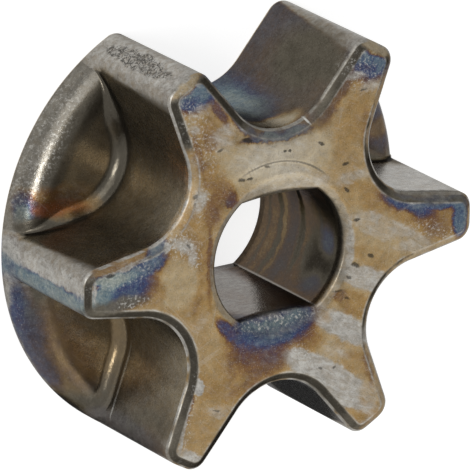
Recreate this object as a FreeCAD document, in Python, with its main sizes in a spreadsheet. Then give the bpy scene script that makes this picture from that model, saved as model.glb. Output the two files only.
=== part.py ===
import FreeCAD, Part
import Sketcher
import math
import os

# One solid: a six-tooth spur sprocket with a flange behind four of its gaps and a double-D shaft hole.
# Millimetres. The back face lies on z = 0, the shaft axis is +Z and one tooth points along +X.

NODE = "sprocket"
TEETH = 6
OPEN_GAPS = 2

# Driving dimensions: cell alias, value and what it measures.
SIZES = (
    ("tip_diameter", 30.0, "circle over the tooth tips and the flange rim"),
    ("thickness", 10.0, "front face to back face"),
    ("tooth_tip_width", 3.0, "tooth width at the tip circle, before its corners are rounded"),
    ("flank_angle", 10.0, "flank to the tooth's centre line, degrees"),
    ("gullet_radius", 4.1, "round root between two teeth"),
    ("tip_corner_radius", 1.1, "rounding of the long edges of a tooth tip"),
    ("flange_thickness", 1.9, "back face to the flange's front face"),
    ("rim_land", 0.25, "straight band on the rim next to the back face"),
    ("rim_round_width", 2.0, "radial width of the flange's rounded front edge"),
    ("floor_fillet", 1.1, "hollow between the gap walls and the flange"),
    ("bevel_width", 0.55, "bevel round the front outline, across the face"),
    ("bevel_depth", 0.3, "bevel round the front outline, along the axis"),
    ("bore_diameter", 10.0, "round part of the shaft hole"),
    ("across_flats", 8.1, "flat to flat in the shaft hole"),
    ("countersink_width", 0.55, "lead-in round the shaft hole, across the face"),
    ("countersink_depth", 0.25, "lead-in round the shaft hole, along the axis"),
)

# Expressions that several features share. Tools run past the blank by one flange thickness.
TIP_RADIUS = "dims.tip_diameter / 2"
WALL_ANGLE = f"(180 / {TEETH} + dims.flank_angle)"
OVERRUN = "dims.flange_thickness"
GULLET_CENTRE = (
    f"(dims.gullet_radius + {TIP_RADIUS} * sin(dims.flank_angle)"
    f" + dims.tooth_tip_width / 2 * cos(dims.flank_angle)) / sin({WALL_ANGLE})"
)
RIM_DROP = "(dims.flange_thickness - dims.rim_land)"
RIM_RADIUS = f"((dims.rim_round_width ^ 2 + {RIM_DROP} ^ 2) / (2 * {RIM_DROP}))"
LEAD_IN_RADIUS = "(dims.bore_diameter / 2 + dims.countersink_width)"
LEAD_IN_APEX = f"({LEAD_IN_RADIUS} * dims.countersink_depth / dims.countersink_width)"

START, END, CENTRE = 1, 2, 3
ORIGIN, Y_AXIS = -1, -2
TOLERANCE = 1e-4

doc = FreeCAD.newDocument(NODE)


def make_sheet():
    """Spreadsheet that holds the driving dimensions."""
    sheet = doc.addObject("Spreadsheet::Sheet", "dims")
    for row, (alias, value, meaning) in enumerate(SIZES, start=1):
        sheet.set(f"A{row}", alias)
        sheet.set(f"B{row}", str(value))
        sheet.set(f"C{row}", meaning)
        sheet.setAlias(f"B{row}", alias)
    doc.recompute()
    return sheet


def add_sketch(body, name, role, height=None):
    """Sketch on one of the body's own planes, raised by an expression where one is given."""
    sketch = body.newObject("Sketcher::SketchObject", name)
    plane = next(item for item in body.Origin.OriginFeatures if item.Role == role)
    sketch.AttachmentSupport = (plane, [""])
    sketch.MapMode = "FlatFace"
    if height:
        sketch.setExpression("AttachmentOffset.Base.z", height)
    return sketch


def relate(sketch, kind, *items):
    sketch.addConstraint(Sketcher.Constraint(kind, *items))


def measure(sketch, kind, items, value, expression):
    """Dimension in a sketch, tied to the sheet by an expression."""
    index = sketch.addConstraint(Sketcher.Constraint(kind, *items, value))
    sketch.setExpression(f"Constraints[{index}]", expression)


def add_feature(body, kind, name, sketch):
    feature = body.newObject(f"PartDesign::{kind}", name)
    feature.Profile = sketch
    return feature


def turn_copies(body, name, feature, count):
    """Copies of a feature evenly spaced about the shaft axis."""
    pattern = body.newObject("PartDesign::PolarPattern", name)
    pattern.Originals = [feature]
    axis = next(item for item in body.Origin.OriginFeatures if item.Role == "Z_Axis")
    pattern.Axis = (axis, [""])
    pattern.Angle = 360
    pattern.Occurrences = count
    body.Tip = pattern
    doc.recompute()
    return pattern


def must_remove(before, body, name):
    """Stop if a cut took nothing away."""
    doc.recompute()
    if body.Shape.Volume > before - TOLERANCE:
        raise RuntimeError(f"{name} removed no material")
    return body.Shape.Volume


def gap_outline(body, name, height=None):
    """Gap between two teeth, centred on +Y: a round gullet with two straight flanks that open outwards."""
    sketch = add_sketch(body, name, "XY_Plane", height)
    tip_radius = sheet.tip_diameter / 2
    lean = math.radians(sheet.flank_angle)
    opening = math.pi / TEETH + lean
    radius = sheet.gullet_radius
    reach = tip_radius + sheet.flange_thickness
    half_tip = sheet.tooth_tip_width / 2
    centre = (radius + tip_radius * math.sin(lean) + half_tip * math.cos(lean)) / math.sin(opening)
    side_x = radius * math.cos(opening)
    side_y = centre - radius * math.sin(opening)
    mouth_x = side_x + (reach - side_y) * math.tan(opening)
    circle = Part.Circle(FreeCAD.Vector(0, centre, 0), FreeCAD.Vector(0, 0, 1), radius)
    gullet = sketch.addGeometry(Part.ArcOfCircle(circle, math.pi + opening, 2 * math.pi - opening))
    corners = [(side_x, side_y), (mouth_x, reach), (-mouth_x, reach), (-side_x, side_y)]
    points = [FreeCAD.Vector(*corner, 0) for corner in corners]
    right, mouth, left = [sketch.addGeometry(Part.LineSegment(*points[k:k + 2])) for k in range(3)]
    relate(sketch, "Tangent", gullet, END, right, START)
    relate(sketch, "Tangent", left, END, gullet, START)
    relate(sketch, "Coincident", right, END, mouth, START)
    relate(sketch, "Coincident", mouth, END, left, START)
    relate(sketch, "PointOnObject", gullet, CENTRE, Y_AXIS)
    relate(sketch, "Symmetric", mouth, START, mouth, END, Y_AXIS)
    measure(sketch, "Radius", (gullet,), radius, "dims.gullet_radius")
    measure(sketch, "Angle", (right,), math.pi / 2 - opening, f"(90 - {WALL_ANGLE}) * 1 deg")
    measure(sketch, "DistanceY", (ORIGIN, START, gullet, CENTRE), centre, GULLET_CENTRE)
    measure(sketch, "DistanceY", (ORIGIN, START, mouth, START), reach, f"{TIP_RADIUS} + {OVERRUN}")
    return sketch


def disc_outline(body, name, height=None):
    """Circle of the tip diameter about the shaft axis."""
    sketch = add_sketch(body, name, "XY_Plane", height)
    radius = sheet.tip_diameter / 2
    circle = Part.Circle(FreeCAD.Vector(0, 0, 0), FreeCAD.Vector(0, 0, 1), radius)
    rim = sketch.addGeometry(circle)
    relate(sketch, "Coincident", rim, CENTRE, ORIGIN, START)
    measure(sketch, "Radius", (rim,), radius, TIP_RADIUS)
    return sketch


def flange_section(body):
    """Half section of the flange that the punches leave standing: flat face, then a rounded rim."""
    sketch = add_sketch(body, "flange_section", "XZ_Plane")
    top = sheet.flange_thickness
    drop = top - sheet.rim_land
    radius = (sheet.rim_round_width ** 2 + drop ** 2) / (2 * drop)
    inner = sheet.tip_diameter / 2 - sheet.rim_round_width
    outer = inner + radius
    foot = -2 * top
    places = [(inner, top), (0, top), (0, foot), (outer, foot), (outer, top - radius)]
    points = [FreeCAD.Vector(*place, 0) for place in places]
    face, axis, base, side = [sketch.addGeometry(Part.LineSegment(*points[k:k + 2])) for k in range(4)]
    circle = Part.Circle(FreeCAD.Vector(inner, top - radius, 0), FreeCAD.Vector(0, 0, 1), radius)
    rim = sketch.addGeometry(Part.ArcOfCircle(circle, 0, math.pi / 2))
    relate(sketch, "Tangent", side, END, rim, START)
    relate(sketch, "Tangent", rim, END, face, START)
    relate(sketch, "Coincident", face, END, axis, START)
    relate(sketch, "Coincident", axis, END, base, START)
    relate(sketch, "Coincident", base, END, side, START)
    relate(sketch, "PointOnObject", axis, START, Y_AXIS)
    relate(sketch, "Horizontal", face)
    relate(sketch, "Vertical", axis)
    relate(sketch, "Horizontal", base)
    relate(sketch, "Vertical", side)
    measure(sketch, "Radius", (rim,), radius, RIM_RADIUS)
    measure(sketch, "DistanceY", (ORIGIN, START, face, START), top, "dims.flange_thickness")
    measure(sketch, "DistanceY", (base, START, ORIGIN, START), -foot, f"2 * {OVERRUN}")
    measure(sketch, "DistanceX", (ORIGIN, START, rim, CENTRE), inner, f"{TIP_RADIUS} - dims.rim_round_width")
    return sketch


def floor_edges(shape):
    """Edges of the punches where a gap wall meets the flange's face or its rounded rim."""
    top = sheet.flange_thickness

    def is_floor(face):
        surface = face.Surface
        if isinstance(surface, Part.Plane):
            return abs(face.BoundBox.ZMin - top) < TOLERANCE and abs(face.BoundBox.ZMax - top) < TOLERANCE
        below = face.BoundBox.ZMax < top + TOLERANCE
        return below and isinstance(surface, (Part.Toroid, Part.Cylinder))

    names = []
    for number, edge in enumerate(shape.Edges, start=1):
        faces = shape.ancestorsOfType(edge, Part.Face)
        floors = [face for face in faces if is_floor(face)]
        low = edge.BoundBox.ZMax < -top + TOLERANCE
        if len(faces) == 2 and len(floors) == 1 and not low:
            names.append(f"Edge{number}")
    return names


def make_gap_punches():
    """Tool that leaves the gaps: punches on a plate, their ends shaped to the flange and rounded off."""
    body = doc.addObject("PartDesign::Body", "gap_punches")
    plate_outline = disc_outline(body, "plate_outline", f"dims.thickness + {OVERRUN}")
    plate = add_feature(body, "Pad", "plate", plate_outline)
    plate.setExpression("Length", OVERRUN)
    punch_outline = gap_outline(body, "punch_outline", f"-{OVERRUN}")
    punch = add_feature(body, "Pad", "punch", punch_outline)
    punch.setExpression("Length", f"dims.thickness + 3 * {OVERRUN}")
    doc.recompute()
    turn_copies(body, "punches", punch, TEETH)
    volume = body.Shape.Volume
    section = flange_section(body)
    clearing = add_feature(body, "Groove", "flange_clearing", section)
    clearing.ReferenceAxis = (section, ["V_Axis"])
    clearing.Angle = 360
    must_remove(volume, body, clearing.Name)
    rounding = body.newObject("PartDesign::Fillet", "floor_rounding")
    rounding.Base = (clearing, floor_edges(clearing.Shape))
    rounding.setExpression("Radius", "dims.floor_fillet")
    doc.recompute()
    return body


def bore_outline(body):
    """Double-D shaft hole: two arcs of the bore joined by two flats that face the open gaps."""
    sketch = add_sketch(body, "bore_outline", "XY_Plane")
    radius = sheet.bore_diameter / 2
    half = sheet.across_flats / 2
    reach = math.asin(half / radius)
    corner_x = radius * math.cos(reach)
    circle = Part.Circle(FreeCAD.Vector(0, 0, 0), FreeCAD.Vector(0, 0, 1), radius)
    right = sketch.addGeometry(Part.ArcOfCircle(circle, -reach, reach))
    left = sketch.addGeometry(Part.ArcOfCircle(circle, math.pi - reach, math.pi + reach))
    places = [(corner_x, half), (-corner_x, half), (-corner_x, -half), (corner_x, -half)]
    points = [FreeCAD.Vector(*place, 0) for place in places]
    upper = sketch.addGeometry(Part.LineSegment(points[0], points[1]))
    lower = sketch.addGeometry(Part.LineSegment(points[2], points[3]))
    loop = [right, upper, left, lower]
    for here, there in zip(loop, loop[1:] + loop[:1]):
        relate(sketch, "Coincident", here, END, there, START)
    for arc in (right, left):
        relate(sketch, "Coincident", arc, CENTRE, ORIGIN, START)
    for flat in (upper, lower):
        relate(sketch, "Horizontal", flat)
    relate(sketch, "Equal", right, left)
    measure(sketch, "Radius", (right,), radius, "dims.bore_diameter / 2")
    measure(sketch, "DistanceY", (ORIGIN, START, upper, START), half, "dims.across_flats / 2")
    measure(sketch, "DistanceY", (lower, START, ORIGIN, START), half, "dims.across_flats / 2")
    return sketch


def lead_in_section(body):
    """Half section of the shallow cone that opens the shaft hole at the front face."""
    sketch = add_sketch(body, "lead_in_section", "XZ_Plane")
    top = sheet.thickness
    mouth = sheet.bore_diameter / 2 + sheet.countersink_width
    depth = mouth * sheet.countersink_depth / sheet.countersink_width
    places = [(0, top), (mouth, top), (0, top - depth), (0, top)]
    points = [FreeCAD.Vector(*place, 0) for place in places]
    across, slope, axis = [sketch.addGeometry(Part.LineSegment(*points[k:k + 2])) for k in range(3)]
    relate(sketch, "Coincident", across, END, slope, START)
    relate(sketch, "Coincident", slope, END, axis, START)
    relate(sketch, "Coincident", axis, END, across, START)
    relate(sketch, "PointOnObject", across, START, Y_AXIS)
    relate(sketch, "Horizontal", across)
    relate(sketch, "Vertical", axis)
    measure(sketch, "DistanceX", (across, START, across, END), mouth, LEAD_IN_RADIUS)
    measure(sketch, "DistanceY", (axis, START, axis, END), depth, LEAD_IN_APEX)
    measure(sketch, "DistanceY", (ORIGIN, START, across, START), top, "dims.thickness")
    return sketch


def cut_through(body, name, sketch):
    """Cut a sketch on the back face right through the part."""
    feature = add_feature(body, "Pocket", name, sketch)
    feature.Type = "ThroughAll"
    feature.Reversed = True
    return feature


def tip_edges(shape):
    """Long edges of the tooth tips, where a straight flank meets the tip circle."""
    radius = sheet.tip_diameter / 2
    names = []
    for number, edge in enumerate(shape.Edges, start=1):
        box = edge.BoundBox
        upright = max(box.XLength, box.YLength) < TOLERANCE
        middle = edge.CenterOfMass
        if upright and abs(math.hypot(middle.x, middle.y) - radius) < TOLERANCE:
            names.append(f"Edge{number}")
    return names


def front_outline(shape):
    """Edges of the front face's outer outline."""
    top = sheet.thickness
    front = next(face for face in shape.Faces if face.BoundBox.ZMin > top - TOLERANCE)
    outline = front.OuterWire.Edges
    return [
        f"Edge{number}"
        for number, edge in enumerate(shape.Edges, start=1)
        if any(edge.isSame(other) for other in outline)
    ]


def make_sprocket(punches):
    """The sprocket itself: blank, gaps, open gaps, shaft hole, then its edges."""
    body = doc.addObject("PartDesign::Body", NODE)
    body.Label = NODE
    blank = add_feature(body, "Pad", "blank", disc_outline(body, "blank_outline"))
    blank.setExpression("Length", "dims.thickness")
    doc.recompute()
    volume = body.Shape.Volume

    gaps = body.newObject("PartDesign::Boolean", "gaps")
    gaps.setObjects([punches])
    gaps.Type = "Cut"
    volume = must_remove(volume, body, gaps.Name)

    open_gap = cut_through(body, "open_gap", gap_outline(body, "open_gap_outline"))
    volume = must_remove(volume, body, open_gap.Name)
    turn_copies(body, "open_gaps", open_gap, OPEN_GAPS)
    volume = must_remove(volume, body, "open_gaps")

    bore = cut_through(body, "bore", bore_outline(body))
    volume = must_remove(volume, body, bore.Name)
    section = lead_in_section(body)
    lead_in = add_feature(body, "Groove", "lead_in", section)
    lead_in.ReferenceAxis = (section, ["V_Axis"])
    lead_in.Angle = 360
    volume = must_remove(volume, body, lead_in.Name)

    rounding = body.newObject("PartDesign::Fillet", "tip_rounding")
    rounding.Base = (lead_in, tip_edges(lead_in.Shape))
    rounding.setExpression("Radius", "dims.tip_corner_radius")
    volume = must_remove(volume, body, rounding.Name)

    bevel = body.newObject("PartDesign::Chamfer", "front_bevel")
    bevel.Base = (rounding, front_outline(rounding.Shape))
    bevel.ChamferType = "Two distances"
    bevel.FlipDirection = True
    bevel.setExpression("Size", "dims.bevel_width")
    bevel.setExpression("Size2", "dims.bevel_depth")
    must_remove(volume, body, bevel.Name)
    return body


def check_document(body):
    """Stop if any object failed to recompute or the finished solid isn't sound."""
    for item in doc.Objects:
        if "Invalid" in item.State or "Error" in item.State:
            raise RuntimeError(f"{item.Name} failed: {item.State}")
    shape = body.Shape
    if shape.isNull() or not shape.isValid() or len(shape.Solids) != 1:
        raise RuntimeError(f"{body.Label} is not one sound solid")


sheet = make_sheet()
sprocket = make_sprocket(make_gap_punches())
doc.recompute()
check_document(sprocket)
os.makedirs("parts", exist_ok=True)
sprocket.Shape.exportStep(f"parts/{sprocket.Label}.step")
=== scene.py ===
import math

import bpy
import numpy as np
from bpy.props import FloatProperty, FloatVectorProperty, PointerProperty
from mathutils import Matrix, Vector


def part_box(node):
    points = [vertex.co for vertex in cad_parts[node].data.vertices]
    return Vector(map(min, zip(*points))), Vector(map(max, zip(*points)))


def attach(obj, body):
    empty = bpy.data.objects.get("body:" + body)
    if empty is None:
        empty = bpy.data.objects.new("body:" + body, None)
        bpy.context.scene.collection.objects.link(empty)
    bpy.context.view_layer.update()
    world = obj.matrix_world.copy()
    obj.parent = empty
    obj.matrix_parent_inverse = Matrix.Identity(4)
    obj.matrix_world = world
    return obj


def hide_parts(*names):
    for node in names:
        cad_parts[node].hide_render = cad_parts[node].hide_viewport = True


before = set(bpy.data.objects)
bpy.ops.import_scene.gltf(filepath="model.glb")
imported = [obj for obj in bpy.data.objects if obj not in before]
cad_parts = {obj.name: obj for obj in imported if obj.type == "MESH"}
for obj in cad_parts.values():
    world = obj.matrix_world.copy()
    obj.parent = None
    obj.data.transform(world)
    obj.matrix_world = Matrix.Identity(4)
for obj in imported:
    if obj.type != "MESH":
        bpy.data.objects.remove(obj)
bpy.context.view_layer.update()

bl_info = {
    "name": "Spur sprocket",
    "version": (1, 0, 0),
    "blender": (4, 5, 0),
    "location": "View3D > Sidebar > Sprocket",
    "description": "Builds a heat-tinted star sprocket and a plain studio round it",
    "category": "Add Mesh",
}

NODE = "sprocket"
BODY = "root"
SLOT = "tempered_steel"
MM = 0.001
TEETH = 6
CAD_LOW, CAD_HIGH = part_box(NODE)

# Mesh resolution: stations round the star, and rows across each band of the section.
STATIONS = 800
BORE_ROWS = 12
CONE_ROWS = 4
FACE_ROWS = 26
WALL_ROWS = 14
FLOOR_ROWS = 40
BACK_ROWS = 6
# Fine steps along the floor and the rim land, from which the floor's even rows are taken.
DENSE_FLOOR = 120
DENSE_LAND = 24

# Rounded front edge: inset from the outline and drop from the face in millimetres, then how dark and how worn
# it is.
FRONT_EDGE = (
    (0.68, 0.0, 0.0, 0.25), (0.6, 0.004, 0.35, 0.55), (0.53, 0.024, 0.95, 0.1), (0.45, 0.06, 1.0, 0.0),
    (0.17, 0.21, 1.0, 0.0), (0.12, 0.24, 0.6, 0.8), (0.04, 0.3, 0.2, 1.0), (0.0, 0.37, 0.2, 1.0),
)
# Close rows at the top of the wall, by their drop from the face in millimetres.
WALL_TOP = (0.41, 0.47)
# Broken edge of the back face in millimetres.
BACK_BREAK = 0.12
# Run-out of the floor fillet: the radii in millimetres between which it narrows, the share that it loses,
# and the share that it gets back beside one tooth, with the angles in degrees where that begins and ends.
FILLET_RUN = (11.2, 14.5)
FILLET_LOSS = 0.88
FILLET_KEPT = 0.6
KEPT_BEGINS = (214, 224)
KEPT_ENDS = (240, 250)
# Crescent rubbed into the face above the hole: the circle that bounds it, and its depth, in millimetres.
CRESCENT_X, CRESCENT_Y, CRESCENT_RADIUS = -0.6, 0.6, 5.88
CRESCENT_DEPTH = 0.05
# Floor and sky: the floor's grey and its own glow, and the sky's strength as a light and as it is seen.
FLOOR_GREY, FLOOR_GLOW = 0.5, 0.74
SKY_LIGHT, SKY_SEEN = 0.45, 0.85
# Width of the camera's sensor in millimetres.
SENSOR_WIDTH = 36


def metres(name, description, millimetres):
    """Length property whose default is given in millimetres."""
    length = millimetres * MM
    return FloatProperty(name=name, description=description, default=length, unit="LENGTH", precision=5)


def degrees(name, description, value):
    """Angle property whose default is given in degrees."""
    return FloatProperty(name=name, description=description, default=math.radians(value), subtype="ANGLE")


def colour(name, description, red, green, blue):
    """Colour property whose default is given in display values from 0 to 255."""
    shade = np.array([red, green, blue]) / 255
    linear = np.where(shade <= 0.04045, shade / 12.92, ((shade + 0.055) / 1.055) ** 2.4)
    return FloatVectorProperty(
        name=name, description=description, default=tuple(linear), size=3, subtype="COLOR", min=0, max=1
    )


class SprocketSizes(bpy.types.PropertyGroup):
    """Sizes of the star, its flange and its shaft hole."""

    tip_diameter: metres("Tip diameter", "Circle over the tooth tips", (CAD_HIGH.x - CAD_LOW.x) / MM)
    thickness: metres("Thickness", "Back face to front face", (CAD_HIGH.z - CAD_LOW.z) / MM)
    tip_width: metres("Tip width", "Tooth width at the tip circle", 3.0)
    flank_angle: degrees("Flank angle", "Flank to the tooth's centre line", 10)
    gullet_radius: metres("Gullet radius", "Round root between two teeth", 4.1)
    corner_radius: metres("Corner radius", "Rounding of the long edges of a tooth tip", 1.1)
    flange_thickness: metres("Flange thickness", "Back face to the flange's front face", 1.9)
    rim_land: metres("Rim land", "Straight band on the rim next to the back face", 0.25)
    rim_width: metres("Rim width", "Radial width of the flange's rounded edge", 2.0)
    floor_fillet: metres("Floor fillet", "Hollow between a gap's walls and the flange", 1.1)
    bore_diameter: metres("Bore diameter", "Round part of the shaft hole", 10.0)
    across_flats: metres("Across flats", "Flat to flat in the shaft hole", 8.1)
    lead_in_width: metres("Lead-in width", "Cone round the shaft hole, across the face", 0.55)
    lead_in_depth: metres("Lead-in depth", "Cone round the shaft hole, along the axis", 0.25)


class SteelFinish(bpy.types.PropertyGroup):
    """Colours of the heated steel, from the coolest to the hottest, and of its bare and dark places."""

    pale_straw: colour("Pale straw", "Hardly heated steel", 178, 167, 146)
    straw: colour("Straw", "Lightly heated steel", 163, 145, 112)
    gold: colour("Gold", "Golden steel", 147, 118, 72)
    brown: colour("Brown", "Brown steel", 108, 76, 46)
    purple: colour("Purple", "Purple steel", 80, 58, 62)
    deep_blue: colour("Deep blue", "Blue steel", 48, 60, 96)
    steel_blue: colour("Steel blue", "Pale blue steel", 90, 110, 120)
    teal_grey: colour("Teal grey", "The hottest places", 138, 146, 138)
    bare_light: colour("Bare light", "Scuffed metal, light strokes", 183, 181, 175)
    bare_dark: colour("Bare dark", "Scuffed metal, dark strokes", 142, 137, 129)
    ember: colour("Ember", "Orange at the edge of a hot place", 150, 90, 52)
    # Soot also paints shade: in the hollows by the rims, in the fillets and on the walls of the gap at 270
    # degrees.
    soot_and_shade: colour("Soot", "Dark oxide in the gaps", 92, 87, 77)
    pit: colour("Pit", "Bottom of a pit", 38, 35, 31)


class StudioStage(bpy.types.PropertyGroup):
    """Camera, lamps and floor."""

    azimuth: degrees("Azimuth", "Camera round the part", -122.66)
    elevation: degrees("Elevation", "Camera above the floor", 51.67)
    roll: degrees("Roll", "Camera about its own axis", 117.2)
    target: FloatVectorProperty(
        name="Target", description="Point that the camera looks at", default=(-0.002121, 0.001187, 0.007782),
        size=3, unit="LENGTH",
    )
    distance: metres("Distance", "Camera to target", 539.9)
    lens: FloatProperty(
        name="Lens", description="Focal length on a 36 mm sensor, in millimetres", default=644.2
    )
    floor_size: metres("Floor size", "Side of the square floor", 6000)
    floor_gap: metres("Floor gap", "Hair's breadth between the floor and the back face", 0.02)


def flank_reach(sizes):
    """Distance of a flank's line from the axis."""
    lean = sizes.flank_angle
    return sizes.tip_diameter / 2 * math.sin(lean) + sizes.tip_width / 2 * math.cos(lean)


def gullet_centre(sizes):
    """Distance of a gullet's centre from the axis, where both flanks are tangent to the gullet."""
    return (sizes.gullet_radius + flank_reach(sizes)) / math.sin(math.pi / TEETH + sizes.flank_angle)


def star_outline(sizes, count):
    """Star outline, evenly spaced by arc length from the tip on +X.

    Half a tooth is a tip arc, a corner arc, a straight flank and half a gullet arc, each tangent to the next.
    It is mirrored about the tooth's centre line and turned round the axis. Returns points, outward normals
    and the distance along the outline from the middle of the nearest tip.
    """
    tip = sizes.tip_diameter / 2
    lean, corner_r, gullet_r = sizes.flank_angle, sizes.corner_radius, sizes.gullet_radius
    across = np.array([math.sin(lean), math.cos(lean)])
    along = np.array([math.cos(lean), -math.sin(lean)])
    reach = flank_reach(sizes)
    corner_run = math.sqrt((tip - corner_r) ** 2 - (reach - corner_r) ** 2)
    corner = across * (reach - corner_r) + along * corner_run
    pitch_angle = math.pi / TEETH
    gullet = gullet_centre(sizes) * np.array([math.cos(pitch_angle), math.sin(pitch_angle)])
    tip_end = math.atan2(corner[1], corner[0])
    flank_normal = math.pi / 2 - lean
    runs = [
        tip * tip_end,
        corner_r * (flank_normal - tip_end),
        corner_run - along @ gullet,
        gullet_r * (flank_normal - pitch_angle),
    ]
    ends = np.cumsum(runs)
    half = ends[-1]

    distance = np.arange(count) * (2 * TEETH * half / count)
    tooth = np.floor(distance / (2 * half) + 0.5)
    local = distance - tooth * 2 * half
    run = np.abs(local)[:, None]
    arcs = (run / tip, tip_end + (run - ends[0]) / corner_r, flank_normal - (run - ends[2]) / gullet_r)
    tip_dir, corner_dir, gullet_dir = (np.hstack([np.cos(angle), np.sin(angle)]) for angle in arcs)
    pieces = [run < end for end in ends[:3]]
    points = np.select(
        pieces,
        [tip * tip_dir, corner + corner_r * corner_dir, corner + corner_r * across - along * (run - ends[1])],
        gullet - gullet_r * gullet_dir,
    )
    normals = np.select(pieces, [tip_dir, corner_dir, np.broadcast_to(across, points.shape)], gullet_dir)
    turn = tooth * 2 * pitch_angle
    mirror = np.where(local < 0, -1.0, 1.0)

    def place(pairs):
        """Pairs mirrored and turned to their own half tooth."""
        x, y = pairs[:, 0], pairs[:, 1] * mirror
        return np.stack([x * np.cos(turn) - y * np.sin(turn), x * np.sin(turn) + y * np.cos(turn)], axis=1)

    return place(points), place(normals), np.abs(local)


def step(value, low, high):
    """Nought below a range, one above it, and a smooth rise between."""
    share = np.clip((value - low) / (high - low), 0, 1)
    return share * share * (3 - 2 * share)


def gap_distance(sizes, radius, angle):
    """Distance into a gap from its wall, negative inside a tooth.

    Next to the gullet it is the gullet radius less the distance to the gullet's centre, and past the tangent
    point it is the perpendicular distance to the flank.
    """
    pitch = 2 * math.pi / TEETH
    off_axis = np.mod(angle, pitch) - pitch / 2
    out, side = radius * np.cos(off_axis), radius * np.abs(np.sin(off_axis))
    opening = math.pi / TEETH + sizes.flank_angle
    centre = gullet_centre(sizes)
    foot_out = centre - sizes.gullet_radius * math.sin(opening)
    foot_side = sizes.gullet_radius * math.cos(opening)
    past = (out - foot_out) * math.cos(opening) + (side - foot_side) * math.sin(opening)
    flank = (out - foot_out) * math.sin(opening) - (side - foot_side) * math.cos(opening)
    gullet = sizes.gullet_radius - np.hypot(out - centre, side)
    return np.where(past > 0, flank, gullet)


def flange_height(sizes, radius):
    """Height of the flange: flat, then an arc that falls to the rim land at the tip circle."""
    drop = sizes.flange_thickness - sizes.rim_land
    arc = (sizes.rim_width ** 2 + drop ** 2) / (2 * drop)
    past = np.maximum(radius - (sizes.tip_diameter / 2 - sizes.rim_width), 0)
    return sizes.flange_thickness - arc + np.sqrt(np.maximum(arc ** 2 - past ** 2, 0))


def fillet_radius(sizes, radius, angle):
    """Radius of the floor fillet: full next to the gullet, and running out to a narrow crease at the rim.

    Beside the tooth at 240 degrees it keeps most of its size.
    """
    turn = np.degrees(np.mod(angle, 2 * math.pi))
    kept = step(turn, *KEPT_BEGINS) * (1 - step(turn, *KEPT_ENDS))
    narrowing = step(radius / MM, *FILLET_RUN)
    return sizes.floor_fillet * (1 - (FILLET_LOSS - FILLET_KEPT * kept) * narrowing)


def hollow_height(sizes, depth, radius, angle):
    """Height that the fillet adds at a distance from the wall: a quarter circle tangent to wall and floor."""
    fillet = fillet_radius(sizes, radius, angle)
    inset = fillet - np.clip(depth, 0, fillet)
    return fillet - np.sqrt(fillet ** 2 - inset ** 2)


def even_rows(line, rows):
    """Points evenly spaced by length along each line of a (points, stations, 3) array."""
    steps = np.linalg.norm(np.diff(line, axis=0), axis=2)
    travelled = np.vstack([np.zeros((1, line.shape[1])), np.cumsum(steps, axis=0)])
    travelled /= travelled[-1]
    wanted = np.linspace(0, 1, rows)
    after = (travelled[:, None, :] < wanted[None, :, None]).sum(axis=0)
    after = np.clip(after, 1, len(line) - 1)
    start = np.take_along_axis(travelled, after - 1, axis=0)
    end = np.take_along_axis(travelled, after, axis=0)
    share = ((wanted[:, None] - start) / np.maximum(end - start, 1e-12))[..., None]
    low = np.take_along_axis(line, (after - 1)[..., None], axis=0)
    high = np.take_along_axis(line, after[..., None], axis=0)
    return low + (high - low) * share


def floor_lines(sizes, outline, angle):
    """Lines from the foot of the wall to the back face, one for each station.

    In a flanged gap a line runs outwards on a ray: its height is the flange's plus the fillet's, and it ends
    down the rim land. In an open gap and on a tooth tip it goes straight down the wall.
    """
    tip = sizes.tip_diameter / 2
    radius = np.hypot(outline[:, 0], outline[:, 1])
    share = np.linspace(0, 1, DENSE_FLOOR)[:, None]
    out = radius + (tip - radius) * np.where(share < 0.5, 2 * share ** 2, 1 - 2 * (1 - share) ** 2)
    height = flange_height(sizes, out) + hollow_height(sizes, gap_distance(sizes, out, angle), out, angle)
    fall = np.linspace(1, 0, DENSE_LAND)[1:, None]
    out = np.vstack([out, np.full((DENSE_LAND - 1, 1), tip) + np.zeros_like(radius)])
    height = np.vstack([height, height[-1] * fall])
    is_open = np.abs(np.sin(angle)) > math.sin(math.pi / 3)
    # A straight line starts as high as the fillet does at the tip circle, so that both kinds join.
    foot = sizes.rim_land + fillet_radius(sizes, tip, 0)
    straight = np.linspace(foot, 0, len(out))[:, None] + np.zeros_like(radius)
    out = np.where(is_open, radius, out)
    height = np.where(is_open, straight, height)
    return np.stack([out * np.cos(angle), out * np.sin(angle), height], axis=2), is_open


def rows_between(first, last, rows, skip_last=True):
    """Straight rows from one ring of points to another."""
    share = np.linspace(0, 1, rows + 1 if skip_last else rows)[: rows, None, None]
    return first + (last - first) * share


def worn_crescent(points):
    """Depth of the crescent rubbed into the face: the inside of a circle off the axis, above the hole."""
    x, y = points[..., 0] / MM, points[..., 1] / MM
    within = CRESCENT_RADIUS - np.hypot(x - CRESCENT_X, y - CRESCENT_Y)
    return CRESCENT_DEPTH * MM * step(within, -0.07, 0.08) * step(y, 4.0, 4.6)


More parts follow.
